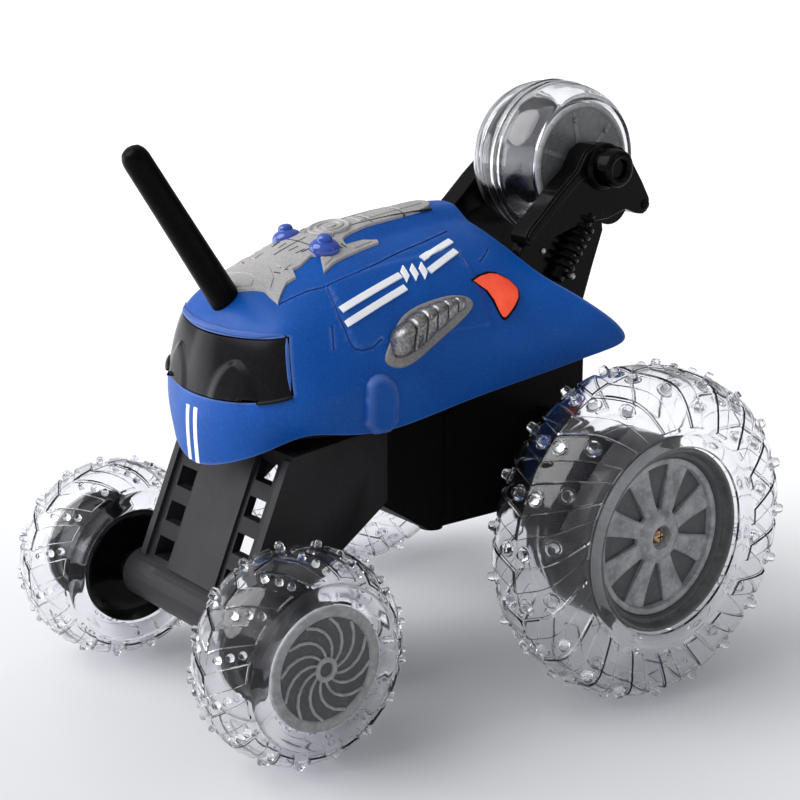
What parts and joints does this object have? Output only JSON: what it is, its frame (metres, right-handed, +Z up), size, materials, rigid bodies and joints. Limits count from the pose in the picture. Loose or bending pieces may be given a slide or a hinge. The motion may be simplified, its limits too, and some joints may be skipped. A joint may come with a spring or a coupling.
{
  "type": "radio-controlled stunt car",
  "caption": "Radio-controlled stunt car with clear studded tyres, driven rear wheels, a raked front leg frame and an extra wheel on a rear arm.",
  "frame": {"origin": "on the ground below the middle of the car's outer box", "axes": "-Y towards the nose, +X towards the car's left side, +Z up"},
  "size_m": [0.186, 0.2112, 0.1929],
  "materials": {
    "body_blue": "satin-gloss moulded blue plastic",
    "smoke_window": "smoked gloss plastic",
    "chassis_black": "matte black moulded plastic",
    "gloss_black": "gloss black plastic",
    "antenna_rubber": "matte black rubber",
    "silver_trim": "silver-painted plastic",
    "red_lens": "lit red lens",
    "clear_tyre": "clear moulded soft plastic",
    "rim_grey": "grey moulded plastic",
    "smoke_clear": "smoked clear plastic",
    "steel": "plain steel",
    "brass": "plain brass",
    "gear_nylon": "off-white nylon",
    "circuit_green": "green lacquered board",
    "cell_wrap": "printed film wrap, plain",
    "nickel": "nickel-plated strip"
  },
  "bodies": {
    "car": {"antenna": "antenna_rubber", "arm_fork": "gloss_black", "beacon_left": "body_blue", "beacon_right": "body_blue", "body_shell": "body_blue", "cell_1": "cell_wrap", "cell_2": "cell_wrap", "cell_3": "cell_wrap", "cell_4": "cell_wrap", "chassis_deck": "chassis_black", "chassis_tub": "chassis_black", "circuit_board": "circuit_green", "contact_bridge_1": "nickel", "contact_bridge_2": "nickel", "contact_bridge_3": "nickel", "contact_terminal_1": "nickel", "contact_terminal_2": "nickel", "exhaust_left": "silver_trim", "exhaust_right": "silver_trim", "fifth_axle": "steel", "front_axle": "steel", "front_leg": "chassis_black", "gearbox_case_left": "chassis_black", "gearbox_case_right": "chassis_black", "lamp_left": "red_lens", "lamp_right": "red_lens", "motor_left": "steel", "motor_right": "steel", "roof_panel": "silver_trim", "switch_body": "steel", "windshield": "smoke_window"},
    "rear_wheel_left": {"rear_tyre_left": "clear_tyre", "rear_drum_left": "gloss_black", "rear_dish_left": "rim_grey", "rear_screw_left": "brass", "rear_shaft_left": "steel", "final_gear_left": "gear_nylon"},
    "compound_left": {"compound_gear_left": "gear_nylon"},
    "motor_rotor_left": {"motor_pinion_left": "brass"},
    "front_wheel_left": {"front_tyre_left": "clear_tyre", "front_drum_left": "gloss_black", "front_cap_left": "rim_grey"},
    "rear_wheel_right": {"rear_tyre_right": "clear_tyre", "rear_drum_right": "gloss_black", "rear_dish_right": "rim_grey", "rear_screw_right": "brass", "rear_shaft_right": "steel", "final_gear_right": "gear_nylon"},
    "compound_right": {"compound_gear_right": "gear_nylon"},
    "motor_rotor_right": {"motor_pinion_right": "brass"},
    "front_wheel_right": {"front_tyre_right": "clear_tyre", "front_drum_right": "gloss_black", "front_cap_right": "rim_grey"},
    "fifth_wheel": {"fifth_tyre": "clear_tyre", "fifth_drum": "gloss_black", "fifth_cap_left": "smoke_clear", "fifth_cap_right": "smoke_clear"},
    "battery_hatch": {"battery_door": "chassis_black", "door_screw": "steel"},
    "power_switch": {"switch_knob": "chassis_black"}
  },
  "joints": [
    {"name": "rear_left_spin", "type": "hinge", "parent": "car", "child": "rear_wheel_left", "pos_m": [0, 0.0476, 0.056], "axis": [1, 0, 0], "continuous": true},
    {"name": "compound_left_spin", "type": "hinge", "parent": "car", "child": "compound_left", "pos_m": [0, 0.0446, 0.06606], "axis": [1, 0, 0], "continuous": true},
    {"name": "motor_left_spin", "type": "hinge", "parent": "car", "child": "motor_rotor_left", "pos_m": [0, 0.0481, 0.07476], "axis": [1, 0, 0], "continuous": true},
    {"name": "front_left_spin", "type": "hinge", "parent": "car", "child": "front_wheel_left", "pos_m": [0, -0.0707, 0.035], "axis": [1, 0, 0], "continuous": true},
    {"name": "rear_right_spin", "type": "hinge", "parent": "car", "child": "rear_wheel_right", "pos_m": [0, 0.0476, 0.056], "axis": [1, 0, 0], "continuous": true},
    {"name": "compound_right_spin", "type": "hinge", "parent": "car", "child": "compound_right", "pos_m": [0, 0.0446, 0.06606], "axis": [1, 0, 0], "continuous": true},
    {"name": "motor_right_spin", "type": "hinge", "parent": "car", "child": "motor_rotor_right", "pos_m": [0, 0.0481, 0.07476], "axis": [1, 0, 0], "continuous": true},
    {"name": "front_right_spin", "type": "hinge", "parent": "car", "child": "front_wheel_right", "pos_m": [0, -0.0707, 0.035], "axis": [1, 0, 0], "continuous": true},
    {"name": "fifth_spin", "type": "hinge", "parent": "car", "child": "fifth_wheel", "pos_m": [0, 0.0783, 0.1654], "axis": [1, 0, 0], "continuous": true},
    {"name": "battery_door_hinge", "type": "hinge", "parent": "car", "child": "battery_hatch", "pos_m": [0, 0.0348, 0.0525], "axis": [1, 0, 0], "range_deg": [0, 80]},
    {"name": "power_switch_slide", "type": "slide", "parent": "car", "child": "power_switch", "axis": [1, 0, 0], "range_m": [0, 0.0045]}
  ],
  "couplings": [
    {"joint": "compound_left_spin", "follows": "rear_left_spin", "ratio": -2.5},
    {"joint": "motor_left_spin", "follows": "rear_left_spin", "ratio": 5.3125},
    {"joint": "compound_right_spin", "follows": "rear_right_spin", "ratio": -2.5},
    {"joint": "motor_right_spin", "follows": "rear_right_spin", "ratio": 5.3125}
  ]
}
